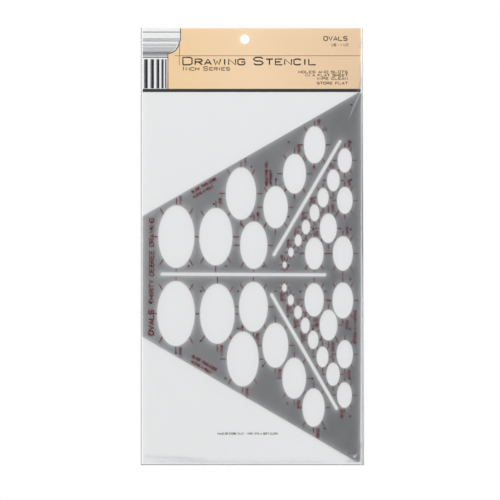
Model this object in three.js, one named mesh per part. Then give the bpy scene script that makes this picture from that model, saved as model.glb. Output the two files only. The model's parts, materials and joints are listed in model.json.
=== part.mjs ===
// An isometric ellipse template in its hanging retail sleeve.
// Millimetres. +Z is up, +X is right, and the printed face looks towards -Y.
// The origin is the middle of the hang hole, on the front face of the insert card.

import * as THREE from 'three';

const INCH = 25.4;
const DEGREE = Math.PI / 180;

// Insert card, with the hang hole at the origin
const CARD = { left: -78.2, right: 88.8, top: 8.5, bottom: -324.7, thick: 0.45 };
const HANG_HOLE_DIAMETER = 7.2;

// Template sheet: an isosceles trapezoid lying on its side, short edge at the left
const SHEET_WIDTH = 167.5;
const SHEET_SHORT_EDGE = 92.2;
const SHEET_SLOPE = 30 * DEGREE;
const SHEET_THICK = 0.76;
const SHEET_CORNER_RADIUS = 1.8;

// How the sheet lies in the sleeve: the middle of its short edge, and a slight clockwise tilt
const SHEET_PLACE = { x: -78.6, z: -181.3, tilt: 0.25 * DEGREE };

// An ellipse drawn for an isometric circle is the circle stretched and squeezed by these
const MAJOR_PER_DIAMETER = Math.sqrt(1.5);
const MINOR_PER_DIAMETER = Math.sqrt(0.5);
const PEN_ALLOWANCE = 0.95;

// Ellipse holes in pairs, one above the sheet's middle line and one below. A size is the
// isometric circle's diameter in 32nds of an inch. The places are the hole's centre,
// across from the short edge and up from the middle line.
const HOLE_PAIRS = [
  { above: { size: 4, across: 109.0, up: 9.3 }, below: { size: 5, across: 108.9, up: -8.3 } },
  { above: { size: 6, across: 113.8, up: 19.0 }, below: { size: 7, across: 113.8, up: -17.6 } },
  { above: { size: 8, across: 119.3, up: 28.1 }, below: { size: 9, across: 119.4, up: -27.0 } },
  { above: { size: 10, across: 125.2, up: 38.2 }, below: { size: 11, across: 125.0, up: -37.0 } },
  { above: { size: 12, across: 131.7, up: 49.2 }, below: { size: 13, across: 131.1, up: -48.0 } },
  { above: { size: 14, across: 138.2, up: 60.8 }, below: { size: 15, across: 138.3, up: -61.0 } },
  { above: { size: 16, across: 146.0, up: 74.1 }, below: { size: 17, across: 146.4, up: -74.3 } },
  { above: { size: 18, across: 154.6, up: 89.4 }, below: { size: 19, across: 155.2, up: -90.1 } },
  { above: { size: 20, across: 154.8, up: 58.8 }, below: { size: 21, across: 155.3, up: -58.9 } },
  { above: { size: 22, across: 142.3, up: 37.4 }, below: { size: 23, across: 142.8, up: -36.6 } },
  { above: { size: 24, across: 131.7, up: 18.1 }, below: { size: 25, across: 131.7, up: -17.4 } },
  { above: { size: 26, across: 153.5, up: 18.2 }, below: { size: 27, across: 153.6, up: -17.8 } },
  { above: { size: 28, across: 131.5, up: 101.2 }, below: { size: 29, across: 131.6, up: -99.8 } },
  { above: { size: 30, across: 116.3, up: 79.0 }, below: { size: 31, across: 116.7, up: -77.4 } },
  { above: { size: 32, across: 101.9, up: 53.3 }, below: { size: 34, across: 102.2, up: -52.3 } },
  { above: { size: 36, across: 85.3, up: 24.2 }, below: { size: 38, across: 85.3, up: -22.9 } },
  { above: { size: 40, across: 75.4, up: 63.7 }, below: { size: 42, across: 77.3, up: -62.9 } },
  { above: { size: 44, across: 56.3, up: 30.6 }, below: { size: 46, across: 57.7, up: -28.4 } },
  { above: { size: 48, across: 26.1, up: 30.5 }, below: { size: 50, across: 26.1, up: -28.3 } },
];
const SMALL_HOLE = 16;
const SMALL_HOLE_SIDES = 24;
const LARGE_HOLE_SIDES = 40;

// Ruling slots with round ends: one along the middle and one up each 60 degree diagonal
const SLOT_WIDTH = 2.4;
const SLOT_END_SIDES = 8;
const SLOTS = [
  { across: 14.2, up: 1.8, length: 126.6, angle: 0 },
  { across: 100.3, up: 16.0, length: 102.4, angle: 60 * DEGREE },
  { across: 98.6, up: -12.7, length: 102.4, angle: -60 * DEGREE },
];

// Inking risers: pads on the sheet's back, set on a square grid. Columns count leftwards and
// rows count down from the pad nearest the top right corner.
const RISER = { diameter: 1.5, height: 0.3, sides: 12 };
const RISER_PITCH = (3 / 8) * INCH;
const FIRST_RISER = { across: 159.4, up: 131.8 };
const RISER_ROWS = [
  { row: 0, columns: [0] },
  { row: 2, columns: [2] },
  { row: 3, columns: [0, 5] },
  { row: 5, columns: [3, 8] },
  { row: 6, columns: [0, 6, 11] },
  { row: 8, columns: [11] },
  { row: 9, columns: [5, 8] },
  { row: 10, columns: [0, 3, 16] },
  { row: 13, columns: [5, 7, 10, 13, 16] },
  { row: 14, columns: [0] },
  { row: 15, columns: [2, 4, 6, 9, 12] },
  { row: 16, columns: [16] },
  { row: 17, columns: [5] },
  { row: 18, columns: [0, 3, 9] },
  { row: 19, columns: [12] },
  { row: 20, columns: [14] },
  { row: 21, columns: [7] },
  { row: 22, columns: [0, 3, 10] },
  { row: 24, columns: [5] },
  { row: 25, columns: [0] },
  { row: 26, columns: [2] },
  { row: 28, columns: [0] },
];

// Clear sleeve: two films welded at both sides and along the bottom, open at the top
const FILM_THICK = 0.1;
const WELD_WIDTH = 0.5;
const SLEEVE = { left: -79.6, topRight: 90.2, bottomRight: 91.4, top: 8.9, bottom: -325.9 };

// Layers from front to back. The card's front face is at zero.
const SHEET_BACK_Y = -0.34;
const SHEET_FRONT_Y = SHEET_BACK_Y - SHEET_THICK;
const FRONT_FILM_BACK_Y = SHEET_FRONT_Y - 0.1;
const BACK_FILM_FRONT_Y = CARD.thick + 0.05;

const material = (color, roughness, opacity = 1) =>
  new THREE.MeshStandardMaterial({ color, roughness, metalness: 0, opacity, transparent: opacity < 1 });

const clearFilm = material('#eef2f4', 0.1, 0.3);
const weldedFilm = material('#d9dee2', 0.3, 0.6);
const printedCard = material('#f1f1f0', 0.6);
const smokePlastic = material('#7d7f84', 0.3, 0.9);
const riserBlack = material('#3a383b', 0.5);

// A flat plate cut to an outline in X and Z, with its back face at the given Y
function plate(name, outline, thick, backY, surface) {
  const geometry = new THREE.ExtrudeGeometry(outline, { depth: thick, bevelEnabled: false });
  geometry.rotateX(Math.PI / 2);
  geometry.translate(0, backY, 0);
  const mesh = new THREE.Mesh(geometry, surface);
  mesh.name = name;
  return mesh;
}

const polygon = (...corners) => new THREE.Shape(corners.map(([x, z]) => new THREE.Vector2(x, z)));

function ellipseHole(x, z, width, height, sides) {
  const curve = new THREE.EllipseCurve(x, z, width / 2, height / 2);
  return new THREE.Path(curve.getPoints(sides));
}

const hangHole = () => ellipseHole(0, 0, HANG_HOLE_DIAMETER, HANG_HOLE_DIAMETER, 32);

function insertCard() {
  const { left, right, top, bottom, thick } = CARD;
  const outline = polygon([left, bottom], [right, bottom], [right, top], [left, top]);
  outline.holes.push(hangHole());
  return plate('insert_card', outline, thick, thick, printedCard);
}

// A polygon whose corners are rounded with arcs of one radius
function roundedOutline(corners, radius, sides) {
  const points = corners.flatMap((corner, index) => {
    const before = corners.at(index - 1).clone().sub(corner).normalize();
    const after = corners[(index + 1) % corners.length].clone().sub(corner).normalize();
    const halfAngle = Math.acos(before.dot(after)) / 2;
    const middle = before.clone().add(after).setLength(radius / Math.sin(halfAngle)).add(corner);
    const start = before.multiplyScalar(radius / Math.tan(halfAngle)).add(corner).sub(middle).angle();
    const sweep = Math.PI - 2 * halfAngle;
    const arc = new THREE.EllipseCurve(middle.x, middle.y, radius, radius, start, start + sweep);
    return arc.getPoints(sides);
  });
  return new THREE.Shape(points);
}

function sheetOutline() {
  const halfShort = SHEET_SHORT_EDGE / 2;
  const halfLong = halfShort + SHEET_WIDTH * Math.tan(SHEET_SLOPE);
  const corners = [
    new THREE.Vector2(0, -halfShort),
    new THREE.Vector2(SHEET_WIDTH, -halfLong),
    new THREE.Vector2(SHEET_WIDTH, halfLong),
    new THREE.Vector2(0, halfShort),
  ];
  return roundedOutline(corners, SHEET_CORNER_RADIUS, 6);
}

function isometricHole({ size, across, up }) {
  const diameter = (size / 32) * INCH + PEN_ALLOWANCE;
  const width = diameter * MINOR_PER_DIAMETER;
  const height = diameter * MAJOR_PER_DIAMETER;
  const sides = size < SMALL_HOLE ? SMALL_HOLE_SIDES : LARGE_HOLE_SIDES;
  return ellipseHole(across, up, width, height, sides);
}

// A slot starts at its round end's tip and runs at its angle for its length
function slotHole({ across, up, length, angle }) {
  const radius = SLOT_WIDTH / 2;
  const ends = [
    { distance: length - radius, start: -Math.PI / 2 },
    { distance: radius, start: Math.PI / 2 },
  ];
  const points = ends.flatMap(({ distance, start }) => {
    const x = across + distance * Math.cos(angle);
    const z = up + distance * Math.sin(angle);
    const from = angle + start;
    return new THREE.EllipseCurve(x, z, radius, radius, from, from + Math.PI).getPoints(SLOT_END_SIDES);
  });
  return new THREE.Path(points);
}

function templateSheet() {
  const outline = sheetOutline();
  const holes = HOLE_PAIRS.flatMap(({ above, below }) => [above, below]);
  outline.holes.push(...holes.map(isometricHole), ...SLOTS.map(slotHole));
  return plate('template_sheet', outline, SHEET_THICK, SHEET_BACK_Y, smokePlastic);
}

function riser(number, row, column) {
  const geometry = new THREE.CylinderGeometry(
    RISER.diameter / 2, RISER.diameter / 2, RISER.height, RISER.sides);
  const mesh = new THREE.Mesh(geometry, riserBlack);
  mesh.name = `riser_${String(number).padStart(2, '0')}`;
  mesh.position.set(
    FIRST_RISER.across - column * RISER_PITCH,
    SHEET_BACK_Y + RISER.height / 2,
    FIRST_RISER.up - row * RISER_PITCH);
  return mesh;
}

// The sheet and its risers share one group, which holds the sheet's place and tilt
function templateGroup() {
  const group = new THREE.Group();
  const places = RISER_ROWS.flatMap(({ row, columns }) => columns.map((column) => ({ row, column })));
  group.add(templateSheet());
  places.forEach(({ row, column }, index) => group.add(riser(index + 1, row, column)));
  group.position.set(SHEET_PLACE.x, 0, SHEET_PLACE.z);
  group.rotation.y = SHEET_PLACE.tilt;
  return group;
}

function film(name, backY) {
  const { left, topRight, bottomRight, top, bottom } = SLEEVE;
  const outline = polygon([left, bottom], [bottomRight, bottom], [topRight, top], [left, top]);
  outline.holes.push(hangHole());
  return plate(name, outline, FILM_THICK, backY, clearFilm);
}

// Each weld fills the gap between the two films along one edge of the sleeve
function weld(name, ...corners) {
  const thick = BACK_FILM_FRONT_Y - FRONT_FILM_BACK_Y;
  return plate(name, polygon(...corners), thick, BACK_FILM_FRONT_Y, weldedFilm);
}

function sleeve() {
  const { left, topRight, bottomRight, top, bottom } = SLEEVE;
  const inside = bottom + WELD_WIDTH;
  const rightAt = (z) => bottomRight + ((topRight - bottomRight) * (z - bottom)) / (top - bottom);
  const group = new THREE.Group();
  group.add(
    film('front_film', FRONT_FILM_BACK_Y),
    film('back_film', BACK_FILM_FRONT_Y + FILM_THICK),
    weld('left_weld', [left, inside], [left + WELD_WIDTH, inside], [left + WELD_WIDTH, top], [left, top]),
    weld('right_weld', [rightAt(inside) - WELD_WIDTH, inside], [rightAt(inside), inside],
      [topRight, top], [topRight - WELD_WIDTH, top]),
    weld('bottom_weld', [left, bottom], [bottomRight, bottom], [rightAt(inside), inside], [left, inside]));
  return group;
}

const part = new THREE.Group();
part.add(sleeve(), insertCard(), templateGroup());

export default part;
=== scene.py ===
"""The visual model of an ellipse template for thirty degree drawing, in its hanging sleeve."""

import json
import math

import bmesh
import bpy
import numpy as np
from mathutils import Matrix, Vector, kdtree, noise

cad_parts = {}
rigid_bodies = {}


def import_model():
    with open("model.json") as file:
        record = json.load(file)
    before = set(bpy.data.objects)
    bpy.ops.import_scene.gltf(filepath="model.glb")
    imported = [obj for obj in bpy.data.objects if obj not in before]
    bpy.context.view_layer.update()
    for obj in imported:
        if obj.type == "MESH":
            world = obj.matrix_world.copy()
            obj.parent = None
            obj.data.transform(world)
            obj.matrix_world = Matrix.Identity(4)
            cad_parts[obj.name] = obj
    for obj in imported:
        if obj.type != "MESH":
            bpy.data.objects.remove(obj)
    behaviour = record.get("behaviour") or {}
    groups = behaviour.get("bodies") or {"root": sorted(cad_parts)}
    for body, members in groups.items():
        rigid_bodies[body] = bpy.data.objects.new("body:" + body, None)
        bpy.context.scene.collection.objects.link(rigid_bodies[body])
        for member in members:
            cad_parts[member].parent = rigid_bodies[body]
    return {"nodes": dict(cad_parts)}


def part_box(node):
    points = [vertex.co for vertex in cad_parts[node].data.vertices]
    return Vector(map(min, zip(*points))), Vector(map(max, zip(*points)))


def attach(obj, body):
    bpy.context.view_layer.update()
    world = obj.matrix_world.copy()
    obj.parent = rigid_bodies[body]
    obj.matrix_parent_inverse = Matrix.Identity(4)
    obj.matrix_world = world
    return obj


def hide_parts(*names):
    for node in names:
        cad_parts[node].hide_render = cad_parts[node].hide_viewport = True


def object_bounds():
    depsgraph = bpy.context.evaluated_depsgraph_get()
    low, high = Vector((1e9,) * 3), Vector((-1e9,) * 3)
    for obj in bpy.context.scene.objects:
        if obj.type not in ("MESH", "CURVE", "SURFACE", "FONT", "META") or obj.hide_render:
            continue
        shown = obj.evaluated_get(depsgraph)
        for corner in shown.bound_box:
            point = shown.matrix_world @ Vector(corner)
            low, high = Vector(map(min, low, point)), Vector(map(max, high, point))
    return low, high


bl_info = {
    "name": "Ellipse Template Pack",
    "version": (1, 0, 0),
    "blender": (4, 5, 0),
    "location": "View3D > Sidebar > Template Pack",
    "description": "Builds a drafting template, its printed card and its clear sleeve",
    "category": "Object",
}

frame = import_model()
cad_low, cad_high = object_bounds()

MM = 0.001
DEGREE = math.pi / 180

CARD_LOW, CARD_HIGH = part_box("insert_card")
SHEET_LOW, SHEET_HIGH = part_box("template_sheet")
FRONT_FILM_LOW, FRONT_FILM_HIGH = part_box("front_film")
BACK_FILM_LOW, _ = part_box("back_film")
SEAL_LOW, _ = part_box("left_weld")
FILM_THICK = FRONT_FILM_HIGH.y - FRONT_FILM_LOW.y
HANG_HOLE_RADIUS = 3.6 * MM
VIEW_WIDTH = 382.5 * MM

# Printed layers on the card, each a thin solid standing a little prouder than the last
GROUND_INK = 0.012 * MM
LETTER_INK = 0.024 * MM


# ---------------------------------------------------------------- colours and materials


def linear(hex_colour):
    """An sRGB hex colour as linear red, green and blue."""
    channels = [int(hex_colour[i : i + 2], 16) / 255 for i in (1, 3, 5)]
    return tuple(c / 12.92 if c <= 0.04045 else ((c + 0.055) / 1.055) ** 2.4 for c in channels)


def add_node(material, kind, settings=None, links=None):
    """Adds a node, sets its properties and sockets, and links sockets from other nodes' outputs."""
    node = material.node_tree.nodes.new(kind)
    for name, value in (settings or {}).items():
        if isinstance(name, str) and hasattr(node, name):
            setattr(node, name, value)
        else:
            node.inputs[name].default_value = value
    for name, source in (links or {}).items():
        material.node_tree.links.new(source, node.inputs[name])
    return node


def empty_material(name):
    material = bpy.data.materials.new(name)
    material.use_nodes = True
    material.node_tree.nodes.clear()
    return material


def surface(material, shader):
    add_node(material, "ShaderNodeOutputMaterial", links={"Surface": shader})
    return material


def colour_ramp(material, factor, stops):
    ramp = add_node(material, "ShaderNodeValToRGB", links={"Fac": factor})
    elements = ramp.color_ramp.elements
    for index, (place, colour) in enumerate(stops):
        element = elements[index] if index < 2 else elements.new(place)
        element.position = place
        element.color = (*colour, 1)
    return ramp.outputs["Color"]


def board_material(colour):
    """Coated white board: calendered fibre under a thin clay coat, so matt with a soft sheen."""
    material = empty_material("coated_board")
    place = add_node(material, "ShaderNodeTexCoord").outputs["Object"]
    # Fibre flocks about 2.5 mm across tint the white very slightly
    flocks = add_node(
        material, "ShaderNodeTexNoise", {"Scale": 400.0, "Detail": 4.0}, {"Vector": place}
    ).outputs["Fac"]
    darker = tuple(c * 0.975 for c in colour)
    tint = colour_ramp(material, flocks, [(0.3, darker), (0.7, colour)])
    # Fibre grain about 0.4 mm across, coarser than real fibre so that it shows
    grain = add_node(
        material, "ShaderNodeTexNoise", {"Scale": 2500.0, "Detail": 2.0}, {"Vector": place}
    ).outputs["Fac"]
    bump = add_node(
        material, "ShaderNodeBump", {"Strength": 0.06, "Distance": 0.02 * MM}, {"Height": grain}
    ).outputs["Normal"]
    shader = add_node(
        material,
        "ShaderNodeBsdfPrincipled",
        {"Roughness": 0.5, "IOR": 1.5, "Specular IOR Level": 0.35},
        {"Base Color": tint, "Normal": bump},
    )
    return surface(material, shader.outputs["BSDF"])


def ink_material(name, colour, speckle=0.94, roughness=0.42):
    """Offset or screen ink: a flat tone that varies a little where the paper shows through."""
    material = empty_material(name)
    place = add_node(material, "ShaderNodeTexCoord").outputs["Object"]
    # Ink lay mottles over about 1.5 mm
    mottle = add_node(
        material, "ShaderNodeTexNoise", {"Scale": 650.0, "Detail": 3.0}, {"Vector": place}
    ).outputs["Fac"]
    thin = tuple(c * speckle for c in colour)
    tone = colour_ramp(material, mottle, [(0.3, thin), (0.7, colour)])
    shader = add_node(
        material,
        "ShaderNodeBsdfPrincipled",
        {"Roughness": roughness, "IOR": 1.5, "Specular IOR Level": 0.4},
        {"Base Color": tone},
    )
    return surface(material, shader.outputs["BSDF"])


def ground_material(left, middle, right):
    """Peach header ground: a printed tint, lightest at its middle and dullest at its right end."""
    material = empty_material("header_ground_ink")
    place = add_node(material, "ShaderNodeTexCoord").outputs["Object"]
    across = add_node(material, "ShaderNodeSeparateXYZ", links={0: place}).outputs["X"]
    span = add_node(
        material,
        "ShaderNodeMapRange",
        {"From Min": CARD_LOW.x, "From Max": CARD_HIGH.x},
        {"Value": across},
    ).outputs["Result"]
    run = colour_ramp(material, span, [(0.1, left), (1.0, right), (0.5, middle)])
    # Halftone mottle about 1 mm across
    mottle = add_node(
        material, "ShaderNodeTexNoise", {"Scale": 1000.0, "Detail": 2.0}, {"Vector": place}
    ).outputs["Fac"]
    light = colour_ramp(material, mottle, [(0.35, (0.95, 0.95, 0.95)), (0.65, (1, 1, 1))])
    tone = add_node(
        material,
        "ShaderNodeMix",
        {"data_type": "RGBA", "blend_type": "MULTIPLY", 0: 1.0},
        {6: run, 7: light},
    ).outputs[2]
    shader = add_node(
        material,
        "ShaderNodeBsdfPrincipled",
        {"Roughness": 0.45, "IOR": 1.5, "Specular IOR Level": 0.4},
        {"Base Color": tone},
    )
    return surface(material, shader.outputs["BSDF"])


def smoke_material(colour, density, glow):
    """Smoke-tinted acrylic sheet: clear grey with a satin face, brighter beside its cut edges."""
    material = empty_material("smoke_acrylic")
    place = add_node(material, "ShaderNodeTexCoord").outputs["Object"]
    edge = add_node(
        material, "ShaderNodeAttribute", {"attribute_name": "edge_glow"}
    ).outputs["Fac"]
    # Light that enters at a cut edge brightens the plastic for some millimetres beside it
    cover = add_node(
        material,
        "ShaderNodeMapRange",
        {"To Min": density, "To Max": density - glow},
        {"Value": edge},
    ).outputs["Result"]
    # The tint deepens a little towards the wide end
    across = add_node(material, "ShaderNodeSeparateXYZ", links={0: place}).outputs["X"]
    run = add_node(
        material,
        "ShaderNodeMapRange",
        {"From Min": SHEET_LOW.x, "From Max": SHEET_HIGH.x, "To Min": -0.05, "To Max": 0.03},
        {"Value": across},
    ).outputs["Result"]
    # Slow clouds about 20 mm across in the tint
    clouds = add_node(
        material, "ShaderNodeTexNoise", {"Scale": 50.0, "Detail": 2.0}, {"Vector": place}
    ).outputs["Fac"]
    drift = add_node(
        material,
        "ShaderNodeMapRange",
        {"From Min": 0.3, "From Max": 0.7, "To Min": -0.012, "To Max": 0.012},
        {"Value": clouds},
    ).outputs["Result"]
    tint = add_node(material, "ShaderNodeMath", {"operation": "ADD"}, {0: run, 1: drift}).outputs[0]
    opacity = add_node(
        material, "ShaderNodeMath", {"operation": "ADD"}, {0: cover, 1: tint}
    ).outputs[0]
    shader = add_node(
        material,
        "ShaderNodeBsdfPrincipled",
        {
            "Base Color": (*colour, 1),
            "Roughness": 0.28,
            "IOR": 1.49,
            "Specular IOR Level": 1.0,
        },
        {"Alpha": opacity},
    )
    return surface(material, shader.outputs["BSDF"])


def film_material(haze_colour):
    """Cast polypropylene film: clear and glossy, milky where it is creased or sealed; along the
    creases this milkiness is partly painted highlight, and in the right margin partly painted
    shade.
    """
    material = empty_material("clear_film")
    place = add_node(material, "ShaderNodeTexCoord").outputs["Object"]
    # Fine rolling waves about 4 mm apart disturb the gloss
    waves = add_node(
        material, "ShaderNodeTexNoise", {"Scale": 250.0, "Detail": 2.0}, {"Vector": place}
    ).outputs["Fac"]
    bump = add_node(
        material, "ShaderNodeBump", {"Strength": 0.15, "Distance": 0.05 * MM}, {"Height": waves}
    ).outputs["Normal"]
    bounce = add_node(material, "ShaderNodeFresnel", {"IOR": 1.2}, {"Normal": bump}).outputs[0]
    # The haze attribute is real milkiness at the seals, plus painted highlight along the creases
    # and painted shade in the right margin
    haze = add_node(material, "ShaderNodeAttribute", {"attribute_name": "haze"}).outputs["Fac"]
    cover = add_node(
        material, "ShaderNodeMath", {"operation": "ADD", "use_clamp": True}, {0: bounce, 1: haze}
    ).outputs[0]
    clear = add_node(material, "ShaderNodeBsdfTransparent").outputs["BSDF"]
    gloss = add_node(
        material,
        "ShaderNodeBsdfPrincipled",
        {"Base Color": (*haze_colour, 1), "Metallic": 0.5, "Roughness": 0.18, "IOR": 1.49},
        {"Normal": bump},
    ).outputs["BSDF"]
    shader = add_node(material, "ShaderNodeMixShader", links={"Fac": cover, 1: clear, 2: gloss})
    return surface(material, shader.outputs["Shader"])


def riser_material(colour):
    """A small matt dome in dark grey: painted shade standing in for how each bump shows dark
    through the sheet.
    """
    return ink_material("riser_painted_shade", colour, 0.85, 0.6)


# ---------------------------------------------------------------- modelling helpers


def select_only(piece):
    for other in bpy.context.scene.objects:
        other.select_set(False)
    piece.hide_set(False)
    piece.select_set(True)
    bpy.context.view_layer.objects.active = piece


def active():
    return bpy.context.view_layer.objects.active


def apply_place(piece):
    """Moves an object's place, turn and scale into its mesh."""
    select_only(piece)
    bpy.ops.object.transform_apply(location=True, rotation=True, scale=True)


def apply_modifier(piece, kind, **settings):
    select_only(piece)
    modifier = piece.modifiers.new(kind.title(), kind)
    for name, value in settings.items():
        setattr(modifier, name, value)
    bpy.ops.object.modifier_apply(modifier=modifier.name)


def remove(piece):
    bpy.data.objects.remove(piece)


def box_between(low, high):
    """A cuboid between two corners."""
    low, high = Vector(low), Vector(high)
    bpy.ops.object.select_all(action="DESELECT")
    bpy.ops.mesh.primitive_cube_add(size=1, location=(low + high) / 2, scale=high - low)
    apply_place(active())
    return active()


def upright_grid(left, right, foot, top, y, spacing):
    """A flat grid in the X and Z plane, squares of about the spacing."""
    wide, tall = right - left, top - foot
    bpy.ops.object.select_all(action="DESELECT")
    bpy.ops.mesh.primitive_grid_add(
        x_subdivisions=round(wide / spacing),
        y_subdivisions=round(tall / spacing),
        size=1,
        rotation=(math.pi / 2, 0, 0),
        location=((left + right) / 2, y, (foot + top) / 2),
    )
    active().scale = (wide, tall, 1)
    apply_place(active())
    return active()


def cut(piece, cutter, operation="DIFFERENCE"):
    """Cuts a piece with another solid, which is used up."""
    apply_modifier(piece, "BOOLEAN", object=cutter, operation=operation, solver="EXACT")
    remove(cutter)


def punch_hang_hole(piece):
    bpy.ops.object.select_all(action="DESELECT")
    bpy.ops.mesh.primitive_cylinder_add(
        vertices=64, radius=HANG_HOLE_RADIUS, depth=10 * MM, rotation=(math.pi / 2, 0, 0)
    )
    cutter = active()
    apply_place(cutter)
    cut(piece, cutter)


def tidy_mesh(piece):
    """Merges doubles and turns faces outwards."""
    select_only(piece)
    bpy.ops.object.mode_set(mode="EDIT")
    bpy.ops.mesh.select_all(action="SELECT")
    bpy.ops.mesh.remove_doubles(threshold=0.0005 * MM)
    bpy.ops.mesh.normals_make_consistent(inside=False)
    bpy.ops.object.mode_set(mode="OBJECT")


def finish_piece(piece, name, body, material):
    piece.name = name
    piece.data.name = name
    piece.data.materials.clear()
    piece.data.materials.append(material)
    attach(piece, body)
    return piece


def join(pieces):
    select_only(pieces[0])
    for piece in pieces[1:]:
        piece.select_set(True)
    bpy.ops.object.join()
    return active()


def ribbon(paths, width, thick, front_y, closed=False):
    """Flat ink ribbons along X and Z points, standing from a face at front_y towards -Y."""
    curve = bpy.data.curves.new("ribbon", "CURVE")
    curve.dimensions = "3D"
    curve.bevel_depth = width / 2
    curve.bevel_resolution = 0
    curve.use_fill_caps = True
    for path in paths:
        spline = curve.splines.new("POLY")
        spline.points.add(len(path) - 1)
        for point, (x, z) in zip(spline.points, path):
            point.co = (x, 0, z, 1)
        spline.use_cyclic_u = closed
    piece = bpy.data.objects.new("ribbon", curve)
    bpy.context.scene.collection.objects.link(piece)
    select_only(piece)
    bpy.ops.object.convert(target="MESH")
    piece = active()
    piece.scale.y = thick / width
    piece.location.y = front_y - thick / 2
    apply_place(piece)
    return piece


def flat_plate(outline, low_y, high_y):
    """A thin plate with the given outline of X and Z points."""
    mesh = bpy.data.meshes.new("plate")
    piece = bpy.data.objects.new("plate", mesh)
    bpy.context.scene.collection.objects.link(piece)
    mesh.from_pydata([(x, high_y, z) for x, z in outline], [], [range(len(outline))])
    select_only(piece)
    bpy.ops.object.mode_set(mode="EDIT")
    bpy.ops.mesh.select_all(action="SELECT")
    bpy.ops.mesh.extrude_region_move(TRANSFORM_OT_translate={"value": (0, low_y - high_y, 0)})
    bpy.ops.mesh.select_all(action="SELECT")
    bpy.ops.mesh.normals_make_consistent(inside=False)
    bpy.ops.object.mode_set(mode="OBJECT")
    return piece


# ---------------------------------------------------------------- lettering

# Wide square capitals on a grid 4 across and 6 up. Two digits are a point, across then up;
# spaces join points into a stroke and a slash starts the next one.
STROKES = {
    "A": "00 26 40/12 32",
    "B": "00 06 36 45 44 33 03/33 42 41 30 00",
    "C": "45 36 16 05 01 10 30 41",
    "D": "00 06 36 45 41 30 00",
    "E": "46 06 00 40/03 33",
    "F": "46 06 00/03 33",
    "G": "45 36 16 05 01 10 30 41 43 23",
    "H": "00 06/40 46/03 43",
    "I": "20 26",
    "J": "46 41 30 10 01",
    "K": "00 06/46 03 40",
    "L": "06 00 40",
    "M": "00 06 22 46 40",
    "N": "00 06 40 46",
    "O": "01 05 16 36 45 41 30 10 01",
    "P": "00 06 36 45 44 33 03",
    "Q": "01 05 16 36 45 41 30 10 01/22 40",
    "R": "00 06 36 45 44 33 03/23 40",
    "S": "45 36 16 05 04 13 33 42 41 30 10 01",
    "T": "06 46/26 20",
    "U": "06 01 10 30 41 46",
    "V": "06 20 46",
    "W": "06 10 24 30 46",
    "X": "00 46/06 40",
    "Y": "06 23 46/23 20",
    "Z": "06 46 00 40",
    "0": "01 05 16 36 45 41 30 10 01",
    "1": "15 26 20",
    "2": "05 16 36 45 44 00 40",
    "3": "05 16 36 45 44 33 42 41 30 10 01",
    "4": "30 36 02 42",
    "5": "46 06 03 33 42 41 30 10 01",
    "6": "45 36 16 05 01 10 30 41 42 33 03",
    "7": "06 46 10",
    "8": "13 04 05 16 36 45 44 33 13 02 01 10 30 41 42 33",
    "9": "43 13 04 05 16 36 45 41 30 10 01",
    "-": "13 33",
    "/": "00 46",
    "'": "26 24",
}
NARROW = {"I": 0.45, "1": 0.6, " ": 0.6, "-": 0.8, "/": 0.9, "'": 0.5}


def text_strokes(text, height, width, gap=0.35, small=None):
    """Strokes of a line of text from its left end, and its length. With small, each word's
    letters after the first are drawn at that share of the height."""
    paths, x, starts_word = [], 0.0, True
    for letter in text:
        size = height if small is None or starts_word else height * small
        share = NARROW.get(letter, 1.0)
        cell = width * size / height
        inset = cell * (1 - share) / 2
        for stroke in STROKES.get(letter, "").split("/"):
            points = [(int(p[0]) / 4, int(p[1]) / 6) for p in stroke.split()]
            if points:
                paths.append([(x - inset + px * cell, pz * size) for px, pz in points])
        x += cell * share + gap * cell
        starts_word = letter == " "
    return paths, x


def placed(paths, origin, angle=0.0):
    """Paths turned by an angle and moved to an origin, in X and Z."""
    turn, move = Matrix.Rotation(angle, 2), Vector(origin)
    return [[tuple(turn @ Vector(point) + move) for point in path] for path in paths]


def fit_text(text, height, length, small=None):
    """Strokes of a text stretched sideways to an exact length."""
    paths, natural = text_strokes(text, height, height * 0.8, small=small)
    stretch = length / natural
    return [[(x * stretch, z) for x, z in path] for path in paths]


# ---------------------------------------------------------------- what the CAD sheet says


class Hole:
    """An opening in the sheet: its centre, half sizes and turn, measured from its outline."""

    def __init__(self, points):
        self.points = points
        self.centre = points.mean(axis=0)
        _, vectors = np.linalg.eigh(np.cov((points - self.centre).T))
        along = vectors[:, 1] * (1 if vectors[0, 1] >= 0 else -1)
        self.angle = math.atan2(along[1], along[0])
        local = (points - self.centre) @ np.array([along, (-along[1], along[0])]).T
        self.half_long, self.half_short = (local.max(axis=0) - local.min(axis=0)) / 2

    def is_slot(self):
        return self.half_long > 8 * self.half_short

    def outline(self):
        """A fine outline of the ellipse or slot."""
        if self.is_slot():
            straight, radius = self.half_long - self.half_short, self.half_short
            local = [
                (side * straight + radius * math.cos(a), radius * math.sin(a))
                for side, start in ((1, -90), (-1, 90))
                for a in [(start + step * 7.5) * DEGREE for step in range(25)]
            ]
        else:
            local = [
                (self.half_long * math.cos(a), self.half_short * math.sin(a))
                for a in [step * 3.75 * DEGREE for step in range(96)]
            ]
        return placed([local], self.centre, self.angle)[0]

    def reach(self, angle):
        """Distance from the centre to the edge of an ellipse in a direction."""
        a = angle - self.angle
        return 1 / math.hypot(math.cos(a) / self.half_long, math.sin(a) / self.half_short)

    def holds(self, point, margin):
        """True if a point is inside, or nearer than the margin."""
        local = Matrix.Rotation(-self.angle, 2) @ (Vector(point) - Vector(self.centre))
        long, short = self.half_long + margin, self.half_short + margin
        if self.is_slot():
            return abs(local.x) < long and abs(local.y) < short
        return (local.x / long) ** 2 + (local.y / short) ** 2 < 1


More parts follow.
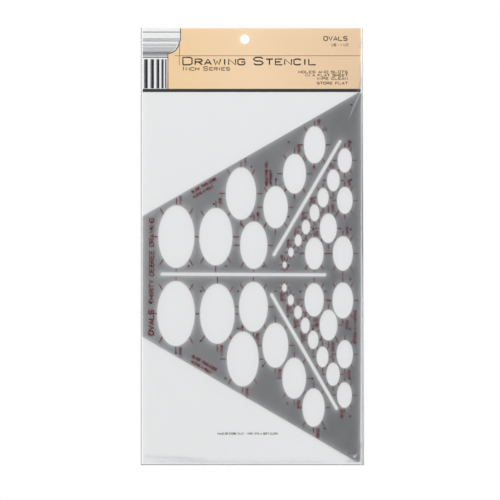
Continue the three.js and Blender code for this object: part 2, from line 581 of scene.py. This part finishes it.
def sheet_outlines():
    """The outlines on the CAD sheet's front face as arrays of X and Z points, longest first."""
    shape = bmesh.new()
    shape.from_mesh(frame["nodes"]["template_sheet"].data)
    bmesh.ops.remove_doubles(shape, verts=shape.verts, dist=0.001 * MM)
    front = {f for f in shape.faces if f.normal.y < -0.9}
    rim = {e for e in shape.edges if sum(f in front for f in e.link_faces) == 1}
    loops = []
    while rim:
        edge = rim.pop()
        first, vertex = edge.verts
        loop = [first]
        while vertex is not first:
            loop.append(vertex)
            edge = next(e for e in vertex.link_edges if e in rim)
            rim.remove(edge)
            vertex = edge.other_vert(vertex)
        loops.append(np.array([(v.co.x, v.co.z) for v in loop]))
    shape.free()
    return sorted(loops, key=lambda points: -np.ptp(points[:, 1]))


OUTLINE, *HOLE_POINTS = sheet_outlines()
HOLES = [Hole(points) for points in HOLE_POINTS]
SLOTS = [hole for hole in HOLES if hole.is_slot()]
ELLIPSES = [hole for hole in HOLES if not hole.is_slot()]
MIDDLE_SLOT = min(SLOTS, key=lambda slot: abs(slot.angle))
SHEET_TURN = MIDDLE_SLOT.angle
SHEET_LEFT_MIDDLE = Vector((SHEET_LOW.x, (SHEET_LOW.z + SHEET_HIGH.z) / 2))


def on_sheet(across, up):
    """A place on the sheet in X and Z, from the middle of its short edge."""
    return SHEET_LEFT_MIDDLE + Matrix.Rotation(SHEET_TURN, 2) @ Vector((across, up))


# ---------------------------------------------------------------- settings


def colour_setting(name, hex_colour, about):
    return bpy.props.FloatVectorProperty(
        name=name,
        description=about,
        subtype="COLOR",
        size=3,
        min=0,
        max=1,
        default=linear(hex_colour),
    )


def size_setting(name, millimetres, about):
    return bpy.props.FloatProperty(
        name=name, description=about, subtype="DISTANCE", unit="LENGTH", default=millimetres * MM
    )


class CardSettings(bpy.types.PropertyGroup):
    board: colour_setting("Board", "#eeeeee", "Colour of the coated board")
    ground_left: colour_setting("Header left", "#f6d3a1", "Header tint at its left end")
    ground_middle: colour_setting("Header middle", "#f8d9b2", "Header tint at its middle")
    ground_right: colour_setting("Header right", "#edcda7", "Header tint at its right end")
    rule: colour_setting("Rule", "#1c1919", "Heavy rule under the header")
    hairline: colour_setting("Hairline", "#8c6a48", "Fine rules on the header")
    lettering: colour_setting("Lettering", "#150f0e", "Header lettering")
    header_height: size_setting("Header height", 48.9, "Height of the header with its rule")
    rule_height: size_setting("Rule height", 2.5, "Height of the heavy rule")


class SheetSettings(bpy.types.PropertyGroup):
    smoke: colour_setting("Smoke", "#2a2f39", "Body colour of the sheet")
    ink: colour_setting("Ink", "#8c1230", "Sheet lettering and marks")
    # The riser colour is painted shade: each bump shows dark through the sheet
    riser: colour_setting("Riser", "#55555c", "Inking risers")
    density: bpy.props.FloatProperty(
        name="Density", description="Cover of one face of the sheet", min=0, max=1, default=0.32
    )
    edge_glow: bpy.props.FloatProperty(
        name="Edge glow",
        description="How much cover is lost beside an edge",
        min=0,
        max=1,
        default=0.16,
    )
    mark_width: size_setting("Mark width", 0.52, "Width of the printed marks")


class FilmSettings(bpy.types.PropertyGroup):
    # The haze colour also paints the highlights along the creases and the painted shade in the
    # right margin
    haze: colour_setting("Haze", "#a4a6ac", "Colour of creased or sealed film")
    grid: size_setting("Grid", 1.5, "Spacing of the film's mesh")
    seal_width: size_setting("Seal width", 0.5, "Width of the heat seals")


# ---------------------------------------------------------------- card


class CardBuild(bpy.types.Operator):
    """Coated board with slightly soft edges and a punched hang hole"""

    bl_idname = "template_pack.card"
    bl_label = "Insert card"

    def execute(self, context):
        settings = context.scene.card_settings
        board = box_between(CARD_LOW, CARD_HIGH)
        punch_hang_hole(board)
        apply_modifier(board, "BEVEL", width=0.08 * MM, segments=2, limit_method="ANGLE")
        finish_piece(board, "card_board", "card", board_material(settings.board))
        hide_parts("insert_card")
        return {"FINISHED"}


class HeaderBuild(bpy.types.Operator):
    """Header ground, heavy rule and fine rules"""

    bl_idname = "template_pack.header"
    bl_label = "Header print"

    def execute(self, context):
        settings = context.scene.card_settings
        left, right, top = CARD_LOW.x, CARD_HIGH.x, CARD_HIGH.z
        rule_low = top - settings.header_height
        rule_high = rule_low + settings.rule_height
        margin = 0.1 * MM
        ground = box_between(
            (left + margin, -GROUND_INK, rule_high), (right - margin, 0, top - margin)
        )
        punch_hang_hole(ground)
        tint = ground_material(
            settings.ground_left, settings.ground_middle, settings.ground_right
        )
        finish_piece(ground, "header_ground", "card", tint)
        rule = box_between((left + margin, -GROUND_INK, rule_low), (right - margin, 0, rule_high))
        finish_piece(rule, "header_rule", "card", ink_material("rule_ink", settings.rule))
        level = top - 21.1 * MM
        upright = left + 28.2 * MM
        lines = [
            [(upright - 4 * MM, level), (right - 0.4 * MM, level)],
            [(upright, top - 10.4 * MM), (upright, top - 28.6 * MM)],
        ]
        fine = ribbon(lines, 0.4 * MM, LETTER_INK - GROUND_INK, -GROUND_INK)
        hairline_ink = ink_material("hairline_ink", settings.hairline)
        finish_piece(fine, "header_hairlines", "card", hairline_ink)
        return {"FINISHED"}


# Header lettering: text, left edge or right edge, baseline below the top, height, length, stroke
TITLE = ("DRAWING STENCIL", 30.9, 28.0, 5.7, 103.4, 1.05)
SUBTITLE = ("INCH SERIES", 30.6, 32.3, 2.9, 37.0, 0.58)
SIDE_LINES = [
    ("OVALS", 9.5, 9.4, 3.0, 18.8, 0.7),
    ("1/8 - 1 1/2", 9.5, 13.8, 1.9, 13.0, 0.42),
    ("HOLES AND SLOTS", 9.5, 34.4, 1.7, 38.0, 0.46),
    ("IN A FLAT SHEET", 9.5, 36.9, 1.7, 33.0, 0.46),
    ("WIPE CLEAN", 9.5, 39.4, 1.7, 24.0, 0.46),
    ("STORE FLAT", 9.5, 42.9, 1.7, 24.0, 0.46),
]
FOOT_LINE = ("HANG OR STORE FLAT - WIPE WITH A SOFT CLOTH", 57.6, 310.9, 1.4, 46.0, 0.36)


class LetteringBuild(bpy.types.Operator):
    """Header and foot lettering in wide square capitals"""

    bl_idname = "template_pack.lettering"
    bl_label = "Card lettering"

    def execute(self, context):
        ink = ink_material("lettering_ink", context.scene.card_settings.lettering)
        left, right, top = CARD_LOW.x, CARD_HIGH.x, CARD_HIGH.z
        lines = [("title", *TITLE, left, 0.76), ("subtitle", *SUBTITLE, left, 0.78)]
        lines += [(f"side_line_{i + 1}", *line, right, None) for i, line in enumerate(SIDE_LINES)]
        lines += [("foot_line", *FOOT_LINE, left, None)]
        for name, text, edge, drop, height, length, stroke, side, small in lines:
            start = side + edge * MM if side == left else side - (edge + length) * MM
            paths = placed(
                fit_text(text, height * MM, length * MM, small), (start, top - drop * MM)
            )
            base = 0 if name == "foot_line" else -GROUND_INK
            letters = ribbon(paths, stroke * MM, LETTER_INK - GROUND_INK, base)
            finish_piece(letters, f"letters_{name}", "card", ink)
        return {"FINISHED"}


class PillarBuild(bpy.types.Operator):
    """Half of a plain column in black and white: slab, cushion, neck rings and fluted shaft"""

    bl_idname = "template_pack.pillar"
    bl_label = "Pillar print"

    def execute(self, context):
        settings = context.scene.card_settings
        left, top = CARD_LOW.x + 0.1 * MM, CARD_HIGH.z - 0.1 * MM
        tall = settings.header_height - settings.rule_height - 0.1 * MM
        # Textbook shares of the shaft's radius: slab 1.5 wide, its depth and the cushion's 0.5
        radius = tall / 2.4
        slab, depth = 1.5 * radius, 0.5 * radius
        neck = 2 * depth
        white = ink_material("pillar_white_ink", linear("#f2f2f2"))
        grey = ink_material("pillar_grey_ink", linear("#77777a"))
        black = ink_material("pillar_black_ink", linear("#1c1c20"))

        def at(x, drop):
            return (left + x, top - drop)

        def level(drop, x):
            return [at(0, drop), at(x, drop)]

        quarter = [step * 90 / 12 * DEGREE for step in range(13)]
        cushion = [
            (radius + (slab - radius) * 0.9 * math.cos(a), depth + depth * math.sin(a))
            for a in quarter
        ]
        outline = [(0, 0), (slab, 0), (slab, depth), *cushion, (radius, tall), (0, tall)]
        front = -GROUND_INK - 0.004 * MM
        ground = flat_plate([at(*point) for point in outline], front, -GROUND_INK)
        finish_piece(ground, "pillar_ground", "card", white)
        ink = 0.006 * MM
        rim = ribbon([[at(*point) for point in outline[1:-1]]], 0.7 * MM, ink, front)
        finish_piece(rim, "pillar_rim", "card", black)
        # Lines under the slab, and three rings round the neck
        lines = [level(depth * share, slab) for share in (0.3, 0.85, 1.0)]
        lines += [level(neck + ring * MM, radius) for ring in (0.6, 1.8, 3.0)]
        bands = ribbon(lines, 0.55 * MM, ink, front)
        finish_piece(bands, "pillar_bands", "card", black)
        # The cushion's shade is engraved in level lines that shorten with its curve
        shade = [level(y, x - 1.2 * MM) for x, y in cushion[2:-1]]
        engraving = ribbon(shade, 0.4 * MM, ink, front)
        finish_piece(engraving, "pillar_shading", "card", grey)
        # Flutes every 15 degrees round the shaft, closing up towards its side
        start, end = neck + 4.4 * MM, tall - 0.3 * MM
        turns = [math.sin(step * 15 * DEGREE) for step in range(6)]
        for name, offset, ink_kind, share in (
            ("dark", 0.62, black, 0.30),
            ("mid", 0.34, grey, 0.26),
        ):
            flutes = []
            for inner, outer in zip(turns, turns[1:]):
                x, wide = radius * (inner + (outer - inner) * offset), radius * (outer - inner)
                flutes.append(ribbon([[at(x, start), at(x, end)]], wide * share, ink, front))
            finish_piece(join(flutes), f"pillar_flutes_{name}", "card", ink_kind)
        return {"FINISHED"}


# ---------------------------------------------------------------- template sheet


def evenly(points, spacing):
    """Points along a closed outline no further apart than the spacing."""
    out = []
    for start, end in zip(points, points[1:] + points[:1]):
        start, end = Vector(start), Vector(end)
        steps = max(1, math.ceil((end - start).length / spacing))
        out += [start.lerp(end, step / steps) for step in range(steps)]
    return out


def die(depth):
    """A solid cutter with the sheet's outline and all its openings."""
    curve = bpy.data.curves.new("die", "CURVE")
    curve.dimensions = "2D"
    curve.fill_mode = "BOTH"
    curve.extrude = depth / 2
    for outline in [OUTLINE.tolist()] + [hole.outline() for hole in HOLES]:
        spline = curve.splines.new("POLY")
        spline.points.add(len(outline) - 1)
        for point, (x, z) in zip(spline.points, outline):
            point.co = (x, z, 0, 1)
        spline.use_cyclic_u = True
    piece = bpy.data.objects.new("die", curve)
    bpy.context.scene.collection.objects.link(piece)
    select_only(piece)
    bpy.ops.object.convert(target="MESH")
    piece = active()
    piece.rotation_euler.x = math.pi / 2
    piece.location.y = (SHEET_LOW.y + SHEET_HIGH.y) / 2
    apply_place(piece)
    tidy_mesh(piece)
    return piece


def add_edge_glow(piece):
    """Writes how near each point is to a cut edge, from 1 at the edge to 0 well inside."""
    rims = [OUTLINE.tolist()] + [hole.outline() for hole in HOLES]
    points = [point for rim in rims for point in evenly(rim, 0.4 * MM)]
    tree = kdtree.KDTree(len(points))
    for index, point in enumerate(points):
        tree.insert((point.x, point.y, 0), index)
    tree.balance()
    fade = 2.2 * MM
    glow = [
        math.exp(-tree.find((v.co.x, v.co.z, 0))[2] / fade) for v in piece.data.vertices
    ]
    attribute = piece.data.attributes.new("edge_glow", "FLOAT", "POINT")
    attribute.data.foreach_set("value", glow)


class SheetBuild(bpy.types.Operator):
    """Smoke-grey sheet with ellipse holes and ruling slots, die cut from a fine grid"""

    bl_idname = "template_pack.sheet"
    bl_label = "Template sheet"

    def execute(self, context):
        settings = context.scene.sheet_settings
        size, margin, spacing = SHEET_HIGH - SHEET_LOW, 1 * MM, 1.4 * MM
        low, high = SHEET_LOW - Vector((margin,) * 3), SHEET_HIGH + Vector((margin,) * 3)
        sheet = upright_grid(low.x, high.x, low.z, high.z, SHEET_HIGH.y, spacing)
        bpy.ops.object.mode_set(mode="EDIT")
        bpy.ops.mesh.select_all(action="SELECT")
        bpy.ops.mesh.extrude_region_move(TRANSFORM_OT_translate={"value": (0, -size.y, 0)})
        bpy.ops.object.mode_set(mode="OBJECT")
        tidy_mesh(sheet)
        cut(sheet, die(4 * MM), "INTERSECT")
        add_edge_glow(sheet)
        smoke = smoke_material(settings.smoke, settings.density, settings.edge_glow)
        finish_piece(sheet, "smoke_sheet", "template", smoke)
        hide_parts("template_sheet")
        return {"FINISHED"}


class RisersBuild(bpy.types.Operator):
    """Inking risers: one low dome, copied to each pad's place"""

    bl_idname = "template_pack.risers"
    bl_label = "Inking risers"

    def execute(self, context):
        nodes = sorted(name for name in frame["nodes"] if name.startswith("riser_"))
        # The pads' dark grey is painted shade
        riser_shade_paint = riser_material(context.scene.sheet_settings.riser)
        low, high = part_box(nodes[0])
        size = high - low
        bpy.ops.object.select_all(action="DESELECT")
        bpy.ops.mesh.primitive_cylinder_add(
            vertices=24, radius=size.x / 2, depth=size.y, rotation=(-math.pi / 2, 0, 0)
        )
        model = active()
        apply_place(model)
        bpy.ops.object.mode_set(mode="EDIT")
        bpy.ops.mesh.select_all(action="DESELECT")
        bpy.ops.object.mode_set(mode="OBJECT")
        for polygon in model.data.polygons:
            polygon.select = polygon.normal.y > 0.9
        bpy.ops.object.mode_set(mode="EDIT")
        bpy.ops.mesh.bevel(offset=0.8 * size.y, segments=4, affect="EDGES")
        bpy.ops.object.mode_set(mode="OBJECT")
        for name in nodes:
            low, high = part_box(name)
            pad = model.copy()
            pad.data = model.data.copy()
            bpy.context.scene.collection.objects.link(pad)
            pad.location = (low + high) / 2
            apply_place(pad)
            bpy.ops.object.shade_smooth_by_angle(angle=40 * DEGREE)
            finish_piece(pad, name.replace("riser", "pad"), "template", riser_shade_paint)
            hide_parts(name)
        remove(model)
        return {"FINISHED"}


def size_label(thirty_seconds):
    """An inch size in words, such as 1-3/16."""
    whole, part = divmod(thirty_seconds, 32)
    if part == 0:
        return str(whole)
    shrink = math.gcd(part, 32)
    fraction = f"{part // shrink}/{32 // shrink}"
    return f"{whole}-{fraction}" if whole else fraction


def hole_size(hole):
    """The isometric circle's diameter in 32nds of an inch, from the hole's long axis."""
    pen_allowance = 0.95 * MM
    inch = 25.4 * MM
    diameter = 2 * hole.half_long / math.sqrt(1.5) - pen_allowance
    return round(diameter / inch * 32)


def axis_ticks(hole):
    """Short lines outside an ellipse on its axes and its isometric axes, clear of other holes."""
    others = [other for other in HOLES if other is not hole]
    start_gap = 0.35 * MM
    longest = 2.0 * MM + 0.13 * hole.half_long
    ticks = []
    for angle in (0, 60, 90, 120, 180, 240, 270, 300):
        turn = angle * DEGREE + SHEET_TURN
        way = Vector((math.cos(turn), math.sin(turn)))
        start = Vector(hole.centre) + way * (hole.reach(turn) + start_gap)
        length = longest
        while length > 0 and any(o.holds(start + way * length, 0.6 * MM) for o in others):
            length -= 0.3 * MM
        if length > 0.7 * MM:
            ticks.append([tuple(start), tuple(start + way * length)])
    return ticks


# Notes on the sheet: text, place from the middle of the short edge, turn, height, length, stroke
SHEET_NOTES = [
    ("title_head", "OVALS", 9.1, -44.0, 90, 3.6, 20.0, 0.85),
    ("title_tail", "THIRTY DEGREE DRAWING", 9.1, -20.0, 90, 3.4, 66.0, 0.6),
    ("upper_edge_1", "SLIDE THIS EDGE", 38.4, 64.4, 30, 1.9, 22.0, 0.5),
    ("upper_edge_2", "ALONG A RULE", 39.4, 60.6, 30, 1.9, 18.0, 0.5),
    ("lower_edge_1", "SLIDE THIS EDGE", 38.6, -60.8, -30, 1.9, 22.0, 0.5),
    ("lower_edge_2", "ALONG A RULE", 37.8, -64.6, -30, 1.9, 18.0, 0.5),
    ("upper_care_1", "HOLD THE PEN", 96.0, 70.6, 90, 1.9, 19.0, 0.5),
    ("upper_care_2", "UPRIGHT", 99.2, 71.0, 90, 1.9, 12.0, 0.5),
    ("side_note", "SIZES IN INCHES", 164.0, -50.0, 90, 1.6, 26.0, 0.46),
]


class SheetPrintBuild(bpy.types.Operator):
    """Crimson axis ticks, size labels and notes on the sheet's face"""

    bl_idname = "template_pack.sheet_print"
    bl_label = "Sheet print"

    def execute(self, context):
        settings = context.scene.sheet_settings
        ink = ink_material("crimson_screen_ink", settings.ink)
        face, thick = SHEET_LOW.y, 0.02 * MM
        ticks = [tick for hole in ELLIPSES for tick in axis_ticks(hole)]
        marks = ribbon(ticks, settings.mark_width, thick, face)
        finish_piece(marks, "axis_ticks", "template", ink)
        labels = []
        for hole in ELLIPSES:
            height, text = 1.8 * MM, size_label(hole_size(hole))
            paths, length = text_strokes(text, height, 1.15 * MM)
            upper = hole.centre[1] > MIDDLE_SLOT.centre[1]
            small = hole_size(hole) < 20
            clear = hole.half_long + 0.8 * MM
            z = hole.centre[1] + clear if upper else hole.centre[1] - clear - length
            # The first place beside the tick that crosses no opening
            for shift in (-1.2, 4.2, 3.0, -2.2) if small else (4.2, 3.0, -2.2, 5.4):
                start = (hole.centre[0] + shift * MM, z)
                label = placed(paths, start, 90 * DEGREE + SHEET_TURN)
                if not any(o.holds(p, 0.2 * MM) for o in HOLES for path in label for p in path):
                    labels += label
                    break
        sizes = ribbon(labels, 0.46 * MM, thick, face)
        finish_piece(sizes, "size_labels", "template", ink)
        for name, text, across, up, turn, height, length, stroke in SHEET_NOTES:
            paths = fit_text(text, height * MM, length * MM)
            start = on_sheet(across * MM, up * MM)
            note = ribbon(
                placed(paths, start, turn * DEGREE + SHEET_TURN), stroke * MM, thick, face
            )
            finish_piece(note, f"note_{name}", "template", ink)
        return {"FINISHED"}


# ---------------------------------------------------------------- sleeve

# Creases in the films: start and end in mm from the sleeve's right edge and top, height, width
BACK_CREASES = [
    ((8.0, 3.0), (30.0, 12.0), 0.25, 0.8),
    ((12.0, 300.0), (4.0, 328.0), 0.3, 0.7),
    ((150.0, 329.0), (166.0, 318.0), 0.3, 0.8),
    ((60.0, 330.5), (140.0, 329.6), 0.2, 0.7),
    ((3.0, 150.0), (6.0, 176.0), 0.2, 0.6),
]
FRONT_CREASES = [
    ((2.6, 50.0), (11.5, 70.5), 0.8, 0.7),
    ((1.6, 52.0), (6.0, 62.0), 0.4, 0.5),
    ((4.0, 330.5), (22.0, 320.5), 0.8, 0.7),
    ((2.2, 318.0), (8.0, 331.5), 0.6, 0.6),
    ((4.0, 326.0), (12.0, 331.5), 0.5, 0.6),
    ((2.0, 331.8), (168.0, 331.8), 0.35, 0.6),
    ((120.0, 330.5), (167.0, 328.0), 0.25, 0.8),
    ((1.5, 8.0), (3.5, 16.0), 0.4, 0.5),
    ((1.8, 38.0), (5.0, 50.0), 0.5, 0.6),
    ((3.5, 27.0), (2.2, 46.0), 0.3, 0.5),
]


def crease_lift(x, z, creases):
    """How far the creases lift the film at a place."""
    lift = 0.0
    for (x0, d0), (x1, d1), height, width in creases:
        start = Vector((FRONT_FILM_HIGH.x - x0 * MM, FRONT_FILM_HIGH.z - d0 * MM))
        end = Vector((FRONT_FILM_HIGH.x - x1 * MM, FRONT_FILM_HIGH.z - d1 * MM))
        run = end - start
        share = min(max((Vector((x, z)) - start).dot(run) / run.length_squared, 0), 1)
        away = (Vector((x, z)) - start - run * share).length
        taper = 0.3 + 0.7 * math.sin(math.pi * (0.15 + 0.7 * share))
        lift += height * MM * taper * math.exp(-away / (width * MM))
    return lift


def right_seam(z):
    """X of the slightly slanted right seal at a height."""
    share = (z - FRONT_FILM_LOW.z) / (FRONT_FILM_HIGH.z - FRONT_FILM_LOW.z)
    return (91.15 - 1.2 * share) * MM


def select_vertices(piece, chosen):
    """Opens edit mode with only the vertices that pass a test selected."""
    select_only(piece)
    bpy.ops.object.mode_set(mode="EDIT")
    bpy.ops.mesh.select_mode(type="VERT")
    bpy.ops.mesh.select_all(action="DESELECT")
    bpy.ops.object.mode_set(mode="OBJECT")
    for vertex in piece.data.vertices:
        vertex.select = chosen(vertex.co)
    bpy.ops.object.mode_set(mode="EDIT")


def from_hang_hole(place):
    return math.hypot(place.x, place.z)


def open_hang_hole(piece):
    """Refines a film's grid round the hang hole and rounds the grid off to its edge."""
    select_vertices(piece, lambda place: from_hang_hole(place) < 2 * HANG_HOLE_RADIUS)
    bpy.ops.mesh.subdivide(number_cuts=3)
    select_vertices(piece, lambda place: from_hang_hole(place) < HANG_HOLE_RADIUS)
    bpy.ops.mesh.delete(type="VERT")
    bpy.ops.object.mode_set(mode="OBJECT")
    uses = {}
    for polygon in piece.data.polygons:
        for key in polygon.edge_keys:
            uses[key] = uses.get(key, 0) + 1
    rim = {index for key, count in uses.items() if count == 1 for index in key}
    for index in rim:
        place = piece.data.vertices[index].co
        away = from_hang_hole(place)
        if away < 1.5 * HANG_HOLE_RADIUS:
            place.x *= HANG_HOLE_RADIUS / away
            place.z *= HANG_HOLE_RADIUS / away


def extrude_rim(piece, on_rim, move):
    """Extrudes the grid's edge vertices that pass a test, and moves each new one."""
    select_vertices(piece, on_rim)
    bpy.ops.mesh.extrude_edges_move()
    bpy.ops.object.mode_set(mode="OBJECT")
    for vertex in piece.data.vertices:
        if vertex.select:
            vertex.co = move(vertex.co)


def film_panel(name, plane_y, outward, seal_y, grid, node, material):
    """One film: a fine grid with slow waves, drawn in to the seals at the sides and foot."""
    left, right = SHEET_LOW.x - 0.15 * MM, SHEET_HIGH.x + 0.25 * MM
    top, foot = FRONT_FILM_HIGH.z, CARD_LOW.z - 0.25 * MM
    creases = FRONT_CREASES if outward < 0 else BACK_CREASES
    piece = upright_grid(left, right, foot, top, plane_y, grid)
    open_hang_hole(piece)
    select_vertices(piece, lambda place: crease_lift(place.x, place.z, creases) > 0.06 * MM)
    bpy.ops.mesh.subdivide(number_cuts=2)
    bpy.ops.object.mode_set(mode="OBJECT")
    for vertex in piece.data.vertices:
        x, z = vertex.co.x, vertex.co.z
        wave = 0.5 + 0.5 * noise.noise(Vector((x * 22, z * 14, 1.7 * outward)))
        lift = crease_lift(x, z, creases)
        vertex.co.y = plane_y + outward * (0.25 * MM * wave + lift)
    # The rims are drawn in to the seals
    near = 0.01 * MM
    # They end at the inner side of the seals' beads, so that few clear layers lie over each other
    inner = 0.35 * MM
    seal_left, seal_foot = SEAL_LOW.x + inner, FRONT_FILM_LOW.z + inner
    extrude_rim(piece, lambda p: p.x < left + near, lambda p: (seal_left, seal_y, p.z))
    extrude_rim(
        piece, lambda p: p.x > right - near, lambda p: (right_seam(p.z) - 0.1 * MM, seal_y, p.z)
    )
    extrude_rim(piece, lambda p: p.z < foot + near, lambda p: (p.x, seal_y, seal_foot))
    attribute = piece.data.attributes.new("haze", "FLOAT", "POINT")
    haze = []
    for vertex in piece.data.vertices:
        x, z = vertex.co.x, vertex.co.z
        # Creases are made milky: partly real whitening of creased film, partly painted highlight
        # standing in for the glints along them
        milk_and_painted_light = 450 * crease_lift(x, z, creases)
        if x > CARD_HIGH.x + 0.2 * MM:
            # The right margin is painted grey: partly milky stretched film, partly painted shade
            # where the film curves down beside the card; less so beside the header
            milk_and_painted_light += 0.22 * min(1.0, max(0.0, (-z - 20 * MM) / (70 * MM)))
        elif abs(vertex.co.y - seal_y) < near:
            milk_and_painted_light = 0.03
        haze.append(min(0.45, milk_and_painted_light))
    attribute.data.foreach_set("value", haze)
    tidy_mesh(piece)
    apply_modifier(piece, "SOLIDIFY", thickness=0.6 * FILM_THICK, offset=0)
    select_only(piece)
    bpy.ops.object.shade_smooth_by_angle(angle=50 * DEGREE)
    finish_piece(piece, name, "sleeve", material)
    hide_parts(node)


class SleeveBuild(bpy.types.Operator):
    """Front and back films of the clear sleeve and the beads of its heat seals"""

    bl_idname = "template_pack.sleeve"
    bl_label = "Clear sleeve"

    def execute(self, context):
        settings = context.scene.film_settings
        film = film_material(settings.haze)
        seal_y = -0.3 * MM
        front_y, back_y = SHEET_LOW.y - 0.12 * MM, BACK_FILM_LOW.y + 0.05 * MM
        gap = 0.05 * MM
        grid = settings.grid
        film_panel("film_front", front_y, -1, seal_y - gap, grid, "front_film", film)
        film_panel("film_back", back_y, 1, seal_y + gap, grid, "back_film", film)
        foot, top = FRONT_FILM_LOW.z + 0.25 * MM, FRONT_FILM_HIGH.z
        left = SEAL_LOW.x + 0.25 * MM
        beads = {
            "left": [(left, foot), (left, top)],
            "right": [(right_seam(foot), foot), (right_seam(top), top)],
            "bottom": [(left, foot), (right_seam(foot), foot)],
        }
        for name, path in beads.items():
            bead = ribbon([path], settings.seal_width, 0.3 * MM, seal_y + 0.15 * MM)
            attribute = bead.data.attributes.new("haze", "FLOAT", "POINT")
            attribute.data.foreach_set("value", [0.02] * len(bead.data.vertices))
            finish_piece(bead, f"seal_{name}", "sleeve", film)
            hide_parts(f"{name}_weld")
        return {"FINISHED"}


# ---------------------------------------------------------------- stage


class StageBuild(bpy.types.Operator):
    """Pale floor, white surroundings, soft lamps and the camera"""

    bl_idname = "template_pack.stage"
    bl_label = "Stage"

    def execute(self, context):
        scene = context.scene
        scene.view_settings.view_transform = "Standard"
        self.add_world(scene)
        bpy.ops.object.select_all(action="DESELECT")
        bpy.ops.mesh.primitive_circle_add(
            vertices=128, radius=0.5, fill_type="NGON", location=(0, 0, cad_low.z - 0.075)
        )
        floor = active()
        floor.name = "floor"
        apply_place(floor)
        floor.data.materials.append(ink_material("floor_paint", linear("#f4f4f4"), 0.99, 0.7))
        self.add_lamp("key_softbox", (-0.35, -1.5, 0.75), (1.4, 0.8), 18.5)
        self.add_lamp("side_softbox", (1.5, -0.9, 0.1), (0.4, 1.2), 4)
        self.add_lamp("back_softbox", (0.9, 1.7, 0.7), (1.2, 0.8), 22)
        # A long lens square to the face, far enough back for the picture to span the view width
        camera = bpy.data.objects.new("camera", bpy.data.cameras.new("camera"))
        camera.data.sensor_width = 36
        camera.data.lens = 200
        distance = VIEW_WIDTH * camera.data.lens / camera.data.sensor_width
        camera.location = (4.0 * MM, -distance, -161.2 * MM)
        camera.rotation_euler = (math.pi / 2, 0, 0)
        scene.collection.objects.link(camera)
        scene.camera = camera
        return {"FINISHED"}

    def add_world(self, scene):
        """White where the camera looks past the object, and a soft grey sky for the light."""
        world = bpy.data.worlds.new("studio")
        world.use_nodes = True
        world.node_tree.nodes.clear()
        path = add_node(world, "ShaderNodeLightPath").outputs["Is Camera Ray"]
        sky = add_node(
            world, "ShaderNodeBackground", {"Color": (0.99, 0.995, 1, 1), "Strength": 0.585}
        ).outputs["Background"]
        white = add_node(
            world, "ShaderNodeBackground", {"Color": (1, 1, 1, 1), "Strength": 1.0}
        ).outputs["Background"]
        mix = add_node(world, "ShaderNodeMixShader", links={"Fac": path, 1: sky, 2: white})
        add_node(world, "ShaderNodeOutputWorld", links={"Surface": mix.outputs["Shader"]})
        scene.world = world

    def add_lamp(self, name, place, size, watts):
        lamp = bpy.data.objects.new(name, bpy.data.lights.new(name, "AREA"))
        lamp.data.shape = "RECTANGLE"
        lamp.data.size, lamp.data.size_y = size
        lamp.data.energy = watts
        lamp.location = place
        aim = Vector((0.005, 0, -0.16)) - lamp.location
        lamp.rotation_euler = aim.to_track_quat("-Z", "Y").to_euler()
        bpy.context.scene.collection.objects.link(lamp)


# ---------------------------------------------------------------- panel and registration

BUILD_STEPS = (
    StageBuild,
    CardBuild,
    HeaderBuild,
    PillarBuild,
    LetteringBuild,
    SheetBuild,
    SheetPrintBuild,
    RisersBuild,
    SleeveBuild,
)
SETTINGS = {
    "card_settings": CardSettings,
    "sheet_settings": SheetSettings,
    "film_settings": FilmSettings,
}


class TemplatePackPanel(bpy.types.Panel):
    """Lists the build steps"""

    bl_label = "Template Pack"
    bl_idname = "VIEW3D_PT_template_pack"
    bl_space_type = "VIEW_3D"
    bl_region_type = "UI"
    bl_category = "Template Pack"

    def draw(self, context):
        for step in BUILD_STEPS:
            self.layout.operator(step.bl_idname)


def register():
    for kind in (*SETTINGS.values(), *BUILD_STEPS, TemplatePackPanel):
        bpy.utils.register_class(kind)
    for name, kind in SETTINGS.items():
        setattr(bpy.types.Scene, name, bpy.props.PointerProperty(type=kind))


def unregister():
    for name in SETTINGS:
        delattr(bpy.types.Scene, name)
    for kind in (TemplatePackPanel, *reversed(BUILD_STEPS), *SETTINGS.values()):
        bpy.utils.unregister_class(kind)


def main():
    register()
    for step in BUILD_STEPS:
        group, name = step.bl_idname.split(".")
        getattr(getattr(bpy.ops, group), name)()
    bpy.context.view_layer.update()


if __name__ == "__main__":
    main()
